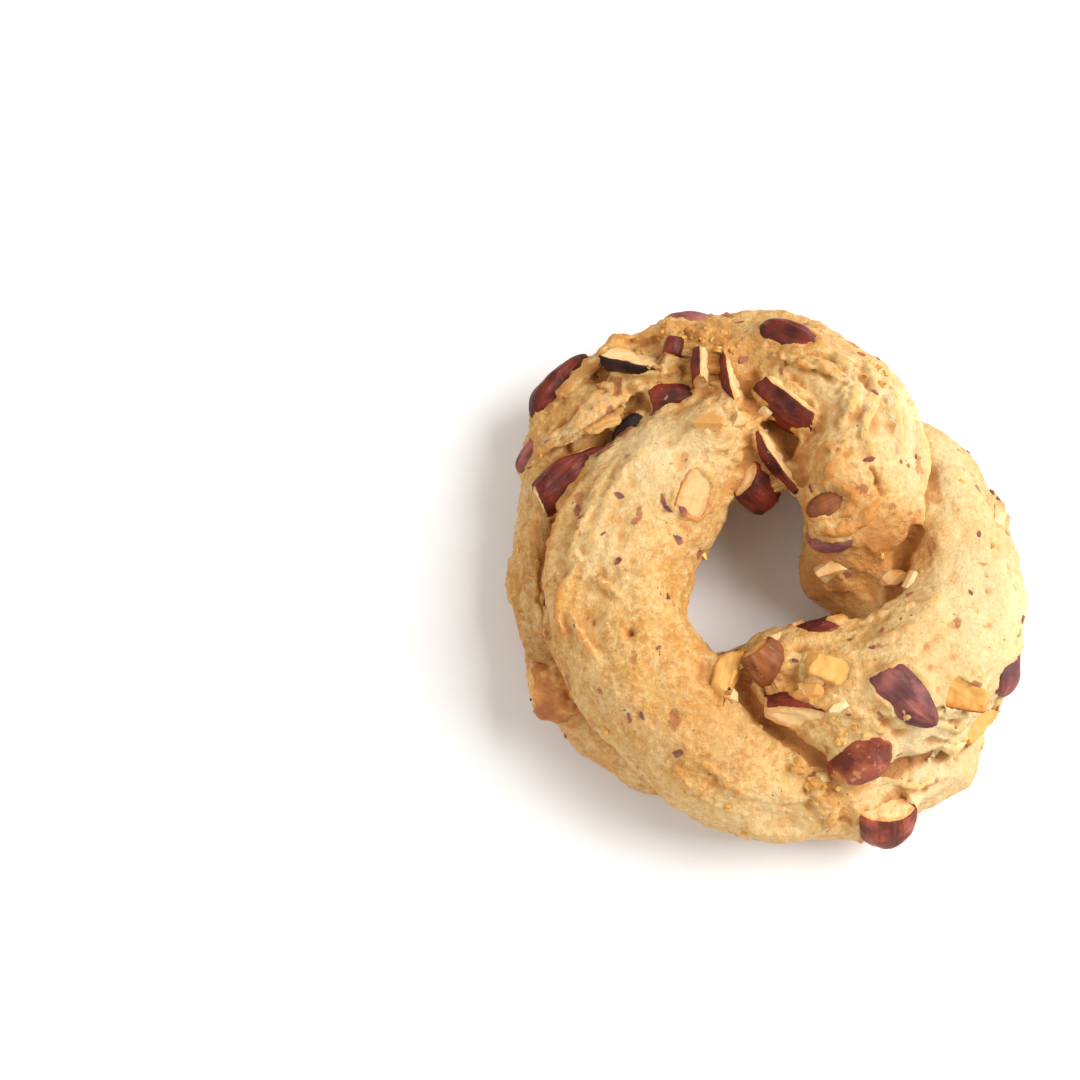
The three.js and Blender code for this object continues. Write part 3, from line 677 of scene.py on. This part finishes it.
# Where each point lies on the strand: how far along it, on which side of its middle, how near a crease
near, off_middle = [], []
for first, last in TURNS:
    start = first * SPAN_STEPS
    turn_tree = spots_tree(route[start:last * SPAN_STEPS])
    found = np.array([start + turn_tree.find(p)[1] for p in place.tolist()])
    offset = place - route[found]
    sideways = (offset * side[found]).sum(1) / girth[found, 0]
    upward = (offset * top[found]).sum(1) / girth[found, 1]
    lengthways = (offset * ahead[found]).sum(1) / girth[found].mean(1)
    near.append(found)
    off_middle.append(np.sqrt(sideways**2 + upward**2 + lengthways**2))
near, off_middle = np.array(near), np.array(off_middle)
closest = near[off_middle.argmin(0), np.arange(len(place))]
in_order = np.sort(off_middle, 0)
to_crease = (in_order[1] - in_order[0]) * STRAND_ROUND
offset = place - route[closest]
turn = np.arctan2((offset * top[closest]).sum(1), (offset * side[closest]).sum(1))
run = along_route[closest] + (offset * ahead[closest]).sum(1)
strand_place = np.stack([run / MARK_STRETCH, STRAND_ROUND * np.cos(turn), STRAND_ROUND * np.sin(turn)], 1)

# Kneading lumps, long wrinkles, creases between the turns, torn crags, pores and a mealy grain, each
# with its width and, where it has one of its own, its height
LUMPS, SMALL_LUMPS = (7, 0.4), (3.4, 0.3)
WRINKLES, WRINKLED_PATCH = (2.6, 2.2), 16
CREASE_DEPTH, CREASE_WIDTH = 1.6, 1.5
TEARS, SMALL_TEARS, STREAKS = (4.2, 1.9), (1.9, 1.0), (1.3, 1.6)
CRUST, MEAL, FINE_MEAL = 1.2, 1.7, 0.95
PORE_SPACING, PORE_DEPTH, PORE_PATCH = 3.1, 0.6, 6
crag = np.max([mound(place, spot, reach) for *spot, reach in CRAGS], 0)
crumbly = np.max([mound(place, spot, reach) for *spot, reach in CRUMBLY], 0)
browning_and_painted_light = sum(amount * mound(place, spot, reach) for *spot, reach, amount in BROWNING_AND_PAINTED_LIGHT)
on_strip = step_up(lifted, 0.1, 0.6)
above_tray = step_up(place[:, 2], 0.3, 3)
mealy = 1 - 0.5 * np.clip(-browning_and_painted_light, 0, 1)
rise = grain(place, *LUMPS) + grain(place + 9, *SMALL_LUMPS)
wrinkled = step_up(grain(place + 40, WRINKLED_PATCH), -0.35, 0.35)
wrinkles = 0.5 - np.abs(grain(strand_place + 5, *WRINKLES))
rise += step_up(to_crease, 0, 4) * (0.1 + 0.22 * wrinkled) * wrinkles
rise -= CREASE_DEPTH * np.exp(-(to_crease / CREASE_WIDTH) ** 2)
torn = 0.6 - np.abs(grain(place + 21, *TEARS)) - np.abs(grain(place + 33, *SMALL_TEARS))
rise += 0.6 * crag * torn
streaks = 0.4 - np.abs(grain(strand_place + 15, *STREAKS))
rise += (0.45 * crag + 0.45 * on_strip) * streaks
rise += 0.9 * crumbly * np.abs(grain(place + 90, CRUST))
rise += (0.26 * mealy + 0.15 * crag + 0.1 * on_strip) * grain(place + 3, MEAL)
rise += (0.22 * mealy + 0.1 * crag + 0.1 * on_strip) * grain(place + 13, FINE_MEAL)
pores = np.array([noise.voronoi(p)[0][0] for p in ((place + 50) / PORE_SPACING).tolist()])
open_pores = step_up(grain(place + 70, PORE_PATCH), 0.05, 0.3)
rise -= PORE_DEPTH * open_pores * (1 - step_up(pores, 0.06, 0.24))
for *spot, reach, depth in HOLLOWS:
    rise -= depth * mound(place, spot, reach)
for reach, depth, *line in GROOVES:
    rise -= depth * (1 - on_strip) * np.exp(-(off_line(place, line) / reach) ** 2)
place += outward * (above_tray * rise)[:, None]

# The skin ends in a ragged line round each almond and goes under it, and a chip only stands out of it
LOOSE = 1.9  # dough that is further than this from an almond is left as it is
SINK = 0.6  # how far the skin goes under an almond's surface
LIP = 0.5  # how gradually it does so
THIN_COVER = 0.25  # dough left over an almond that would come through it
THICK_COVER = 2.5  # skin further inside an almond than this isn't brought up over it
TOUCH = 0.02  # nearer than this is taken as touching
RAGGED, FINE_RAGGED = (3, 0.7), (1.3, 0.35)  # width and height of the waves in the edge
ragged = 0.75 + grain(place + 60, *RAGGED) + grain(place + 80, *FINE_RAGGED)
uncovered = eased(step_up(off_dough, ragged, ragged + LIP)[:, None], edges, 4)[:, 0]
uncovered = step_up(uncovered, 0.3, 0.7)
shaped = place.copy()
nearest = np.full(len(place), LOOSE)
for almond, low, high in almond_trees:
    for i in np.flatnonzero(((shaped > low - LOOSE) & (shaped < high + LOOSE)).all(1)):
        spot = Vector(shaped[i])
        on, facing, _, gap = almond.find_nearest(spot)
        gap = math.copysign(gap, (spot - on).dot(facing))
        if gap < nearest[i]:
            nearest[i] = gap
            way = (spot - on) / gap if abs(gap) > TOUCH else facing
            thick = almond.ray_cast(on - way * TOUCH, -way)[3] or 0
            under = on + way * min(gap, -min(SINK, thick / 2))
            over = on + way * max(gap, THIN_COVER)
            if gap < 0:
                out = Vector(outward[i])
                over = almond.ray_cast(spot, out, THICK_COVER)[0]
                over = under if over is None else over + out * THIN_COVER
            place[i] = over.lerp(under, uncovered[i])
for i in np.flatnonzero((nearest == LOOSE) | (uncovered < 0.5)):
    spot = Vector(place[i])
    on, facing, _, gap = chip_tree.find_nearest(spot, LIP)
    if on is not None:
        free = step_up(gap, 0.5 * LIP, LIP)
        place[i] = on - facing * SINK * (1 - free) + (spot - on) * free
place[:, 2] = np.maximum(place[:, 2], 0)
dough_mesh.vertices.foreach_set("co", place.astype(np.float32).ravel())
dough_mesh.update()

# What colours the dough: how far each point stands out of its surroundings, for browned ridges and painted
# shade in its hollows, and where it baked more or is painted paler or browner for the light
PROUD = 0.9  # the height between deep hollows, which get painted shade, and ridges, which brown most
UNDERSIDE = (1, 9)  # heights between which the browning from the tray fades
_, outward = points_of(dough_mesh)
soft = eased(place, edges, 3)
stands_out = ((soft - eased(soft, edges, 30)) * outward).sum(1)
# high on ridges, which brown, and low in hollows, which get painted shade
keep_value(dough_mesh, "toast_and_hollow_shade", np.clip(0.5 + stands_out / PROUD, 0, 1))
# browning from the tray and in the crags, on top of the listed spots, some of which are painted light and
# shade
browning_and_painted_light += 0.7 * (1 - step_up(place[:, 2], *UNDERSIDE)) + 0.15 * crag
keep_value(dough_mesh, "browning_and_painted_light", np.clip(browning_and_painted_light, -1, 1))
dough_mesh = modified(dough_mesh, ("DECIMATE", {"ratio": KEPT_FACES}))
dough_mesh.shade_smooth()

# Baked lard dough: matt and slightly waxy, pale tan with a mealy grain and orange mottling, browned
# golden on ridges and torn edges, creamier where it baked less, with shreds of almond skin and pepper;
# painted shade darkens its hollows, some spots are painted paler or browner for the light, and edges
# on the pale dough are painted yellow for light shining through them
PATTERNS = [(8, 0.6), (2.8, 0.65), (1.0, 0.7)]  # size and roughness of patches, mottling and meal
FLECKS = [  # cell size, stretch, turn, share of cells left bare, reach, colours
    (3.6, (1.0, 0.4, 0.7), (0.3, 0.2, 0.6), 0.45, 0.30, "#C07A45", "#8E4A30"),
    (2.9, (0.42, 1.0, 0.8), (0.1, 0.5, -0.4), 0.55, 0.28, "#C88548", "#9A553A"),
    (1.7, (1.0, 0.8, 0.9), (0.4, 0.1, 0.2), 0.5, 0.18, "#7A5638", "#33261D"),
]
FLECK_BEND, FLECK_WAVE = 1.5, 0.9  # how far the outlines of flecks are bent, and over what length
baked_dough, tree, shader = new_material("baked_lard_dough")
where = add_node(tree, "ShaderNodeTexCoord", {}).outputs["Object"]
toast_and_hollow_shade = add_node(tree, "ShaderNodeAttribute", {}, attribute_name="toast_and_hollow_shade").outputs["Fac"]
painted_light_and_browning = add_node(tree, "ShaderNodeAttribute", {}, attribute_name="browning_and_painted_light").outputs["Fac"]
patches, mottle, meal = (
    add_node(tree, "ShaderNodeTexNoise", {
        "Vector": where, "Scale": 1 / (size * MM), "Detail": 5.0, "Roughness": roughness,
    }).outputs["Fac"]
    for size, roughness in PATTERNS
)
edge = add_node(tree, "ShaderNodeMath", {0: mottle, 1: 0.6, 2: toast_and_hollow_shade}, operation="MULTIPLY_ADD").outputs[0]
# torn edges browned orange; on the pale dough they are painted yellow, as light shining through thin edges
edge_hue_and_painted_glow = layered(tree, linear("#CE8433"), [(painted_light_and_browning, 0.0, -0.6, 1.0, linear("#F0C672"))])
hue = layered(tree, linear("#E6BA74"), [
    (patches, 0.44, 0.62, 1.0, linear("#DBA455")),
    (mottle, 0.51, 0.64, 0.7, linear("#C98C3E")),
    (meal, 0.50, 0.68, 0.6, linear("#F5E2B0")),
    (meal, 0.47, 0.32, 0.65, linear("#B27834")),
    # paler and browner from baking, with painted light and shade in some of the listed spots
    (painted_light_and_browning, 0.0, -1.0, 0.75, linear("#F6E3B2")),
    (painted_light_and_browning, 0.0, 1.0, 0.85, linear("#B26C2C")),
    (edge, 0.92, 1.20, 0.75, edge_hue_and_painted_glow),
    # painted shade: hollows darker orange-brown, the deepest darkest
    (toast_and_hollow_shade, 0.49, 0.30, 0.6, linear("#DB9A4A")),
    (toast_and_hollow_shade, 0.36, 0.08, 0.65, linear("#AE6A2E")),
])
wave = add_node(tree, "ShaderNodeTexNoise", {
    "Vector": where, "Scale": 1 / (FLECK_WAVE * MM), "Detail": 2.0,
})
bend = add_node(tree, "ShaderNodeVectorMath", {
    0: wave.outputs["Color"], 1: (FLECK_BEND * MM,) * 3,
}, operation="MULTIPLY")
bent = add_node(tree, "ShaderNodeVectorMath", {0: where, 1: bend.outputs[0]}, operation="ADD")
for cell, stretch, turned, rare, reach, pale, dark in FLECKS:
    fleck_at = add_node(tree, "ShaderNodeMapping", {
        "Vector": bent.outputs[0], "Rotation": turned, "Scale": stretch,
    })
    cells = add_node(tree, "ShaderNodeTexVoronoi", {
        "Vector": fleck_at.outputs[0], "Scale": 1 / (cell * MM),
    })
    drawn = add_node(tree, "ShaderNodeSeparateColor", {"Color": cells.outputs["Color"]})
    radius = add_node(tree, "ShaderNodeMapRange", {0: drawn.outputs[0], 1: rare, 2: 1.0, 4: reach})
    inside = add_node(tree, "ShaderNodeMath", {
        0: radius.outputs[0], 1: cells.outputs["Distance"],
    }, operation="SUBTRACT")
    fleck_hue = layered(tree, linear(pale), [(drawn.outputs[1], 0.0, 1.0, 1.0, linear(dark))])
    hue = layered(tree, hue, [(inside.outputs[0], 0.0, 0.07, 0.8, fleck_hue)])
tree.links.new(hue, shader.inputs["Base Color"])
sheen = add_node(tree, "ShaderNodeMapRange", {0: patches, 1: 0.35, 2: 0.65, 3: 0.48, 4: 0.7})
tree.links.new(sheen.outputs[0], shader.inputs["Roughness"])
shader.inputs["IOR"].default_value = 1.45
shader.inputs["Subsurface Weight"].default_value = 0.1
shader.inputs["Subsurface Radius"].default_value = (1.0, 0.5, 0.25)
shader.inputs["Subsurface Scale"].default_value = 1.0 * MM
coarse = add_node(tree, "ShaderNodeBump", {"Height": mottle, "Distance": 0.9 * MM, "Strength": 0.7})
bump = add_node(tree, "ShaderNodeBump", {
    "Height": meal, "Distance": 0.7 * MM, "Strength": 0.9, "Normal": coarse.outputs[0],
})
tree.links.new(bump.outputs[0], shader.inputs["Normal"])
dough = add_piece("dough_ring", dough_mesh, baked_dough)
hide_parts("dough")

# Crumbs and shreds: dry crumbs off the torn dough and thin shreds of almond skin, stuck to it as it
# baked, most of them where the dough is crusty
CRUMBS, SHREDS = 170, 40
SMALLEST_CRUMB, LARGEST_CRUMB = 0.14, 0.74  # radius
CRUMB_ROUGHNESS = 0.32  # how far a crumb's corners are off, against its radius
STRAY_CRUMBS = 0.004  # chance of a crumb anywhere, against that in a crusty place
SHRED_LENGTH, SHRED_WIDTH = (0.8, 2.2), (0.3, 0.7)  # the width is a share of the length
SHRED_THICKNESS = 0.2
SHRED_CORNERS, SHRED_RAGGED = 7, (0.5, 1.3)
FLAKES = [  # larger bits of skin: place, heading, length, width
    (-28.7, 21.6, 22.7, 40, 5, 2), (-22.5, 32, 19.1, 20, 3.4, 2.2), (-14.6, 8.6, 27.6, -65, 3.4, 1.3),
    (-18, 10.1, 28.1, 100, 3, 0.9), (-33.3, 9, 25.3, 70, 3, 1.1), (-22.4, 6.4, 28.9, 60, 1.5, 0.8),
    (-9, 27, 29.4, 20, 1.8, 1.2), (-15.1, 3.6, 25.6, -40, 2.6, 1.3), (-15.1, -33.7, 24.3, 20, 2, 1.5),
    (-17.2, -6.2, 25.1, 60, 1.2, 1.1), (-23.5, -27.5, 25.1, 80, 2.2, 0.7),
    (-21.1, -27.5, 25.8, 95, 2.4, 0.7), (17.6, -15.9, 27.8, 10, 1.3, 0.8), (7.8, 12.5, 26.7, 60, 2.4, 1.5),
    (-25.5, 25.2, 20.8, 40, 3.6, 1.6),
]
# They lie on dough that faces up, off the tray and off the almonds
facing_up = np.flatnonzero((outward[:, 2] > 0.1) & (place[:, 2] > 6) & (off_dough < 1.5))
chance = STRAY_CRUMBS + sum(mound(place[facing_up], spot, reach) for *spot, reach in CRUMBLY)
crumbs = bmesh.new()
for i in draw.choices(facing_up.tolist(), chance.tolist(), k=CRUMBS):
    radius = SMALLEST_CRUMB + (LARGEST_CRUMB - SMALLEST_CRUMB) * draw.random() ** 2
    put = Matrix.Translation(place[i])
    made = bmesh.ops.create_icosphere(crumbs, subdivisions=1, radius=radius, matrix=put)
    for vert in made["verts"]:
        vert.co += random_step() * radius * CRUMB_ROUGHNESS
place_tree = spots_tree(place)
bits = [(place_tree.find(spot)[1], heading, length, width) for *spot, heading, length, width in FLAKES]
for i in draw.sample(facing_up.tolist(), SHREDS):
    length = draw.uniform(*SHRED_LENGTH)
    bits.append((i, draw.uniform(0, 360), length, length * draw.uniform(*SHRED_WIDTH)))
shreds = bmesh.new()
for i, heading, length, width in bits:
    made = bmesh.ops.create_circle(shreds, cap_ends=True, segments=SHRED_CORNERS, radius=0.5)
    for vert in made["verts"]:
        vert.co *= draw.uniform(*SHRED_RAGGED)
        vert.co.x *= length
        vert.co.y *= width
    sheet = bmesh.ops.extrude_face_region(shreds, geom=list(made["verts"][0].link_faces))
    raised = [v for v in sheet["geom"] if isinstance(v, bmesh.types.BMVert)]
    bmesh.ops.translate(shreds, vec=(0, 0, SHRED_THICKNESS), verts=raised)
    facing = Vector(outward[i])
    along = (math.cos(math.radians(heading)), math.sin(math.radians(heading)), 0)
    across = facing.cross(along).normalized()
    lie = Matrix((across.cross(facing), across, facing)).transposed().to_4x4()
    bmesh.ops.transform(shreds, matrix=Matrix.Translation(place[i]) @ lie, verts=made["verts"] + raised)
for name, bm, pale, dark, slot in [
    ("dough_crumbs", crumbs, "#EBBE66", "#CC8834", "dough"),
    ("almond_skin_shreds", shreds, "#A85F3C", "#6F4040", "almond_skin"),
]:
    bmesh.ops.recalc_face_normals(bm, faces=bm.faces)
    # Dry dough or papery skin: matt, each bit of its own shade
    material, tree, shader = new_material(name)
    where = add_node(tree, "ShaderNodeTexCoord", {}).outputs["Object"]
    tint = add_node(tree, "ShaderNodeTexNoise", {"Vector": where, "Scale": 1 / (2 * MM), "Detail": 1.0})
    hue = layered(tree, linear(pale), [(tint.outputs["Fac"], 0.35, 0.65, 1.0, linear(dark))])
    tree.links.new(hue, shader.inputs["Base Color"])
    shader.inputs["Roughness"].default_value = 0.7
    add_piece(name, mesh_of(bm), material)

# The studio: a plain white floor, a broad soft light at the right, a weaker one at the left in front,
# and a camera that looks down on the ring as the photograph does
FLOOR = 3  # half its width, in metres, as the places of the lights are
LIGHTS = [  # name, place, power, width
    ("key_light", (0.8, 0.12, 0.8), 18.0, 0.8),
    ("front_light", (-0.8, -0.4, 0.7), 4.5, 0.9),
]
bm = bmesh.new()
bmesh.ops.create_grid(bm, x_segments=1, y_segments=1, size=FLOOR)
floor = add_object("floor", mesh_of(bm))
# Studio paint: white and matt
paint, _, shader = new_material("white_studio_paint")
shader.inputs["Base Color"].default_value = linear("#F7F7F7")
shader.inputs["Roughness"].default_value = 0.9
floor.data.materials.append(paint)
floor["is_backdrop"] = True
world = bpy.data.worlds.new("studio")
bpy.context.scene.world = world
world.use_nodes = True
world.node_tree.nodes["Background"].inputs["Color"].default_value = linear("#FFF9F0")
world.node_tree.nodes["Background"].inputs["Strength"].default_value = 0.45
for name, spot, power, width in LIGHTS:
    lamp = bpy.data.lights.new(name, "AREA")
    lamp.energy = power
    lamp.size = width
    light = add_object(name, lamp)
    light.location = spot
    light.rotation_euler = (-Vector(spot)).to_track_quat("-Z", "Y").to_euler()

LENS, FILM = 90, 36  # focal length, and width of the picture behind the lens
PICTURE = 1080  # the photograph's width and height in pixels
PIXELS_PER_MM = 5.62  # at the ring
AIM_OFF = (227, 41)  # how far right and down of the picture's middle the ring sits, in pixels
AIM_HEIGHT = 13  # height of the point in the ring that this is measured at
ELEVATION = math.radians(74)
ring_at = TO_FRAME @ Vector((0, 0, AIM_HEIGHT))
focal = LENS / FILM * PICTURE
back = Vector((0, -math.cos(ELEVATION), math.sin(ELEVATION)))
right, up = Vector((1, 0, 0)), Vector((0, math.sin(ELEVATION), math.cos(ELEVATION)))
look = (-back - right * AIM_OFF[0] / focal + up * AIM_OFF[1] / focal).normalized()
right = look.cross(up).normalized()
up = right.cross(look)
camera = add_object("camera", bpy.data.cameras.new("camera"))
camera.data.lens = LENS
camera.data.sensor_width = FILM
camera.matrix_world = Matrix.Translation(ring_at + back * focal / PIXELS_PER_MM * MM) @ Matrix(
    (right, up, -look)).transposed().to_4x4()
bpy.context.scene.camera = camera
bpy.context.scene.view_settings.view_transform = "Standard"

low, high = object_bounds()
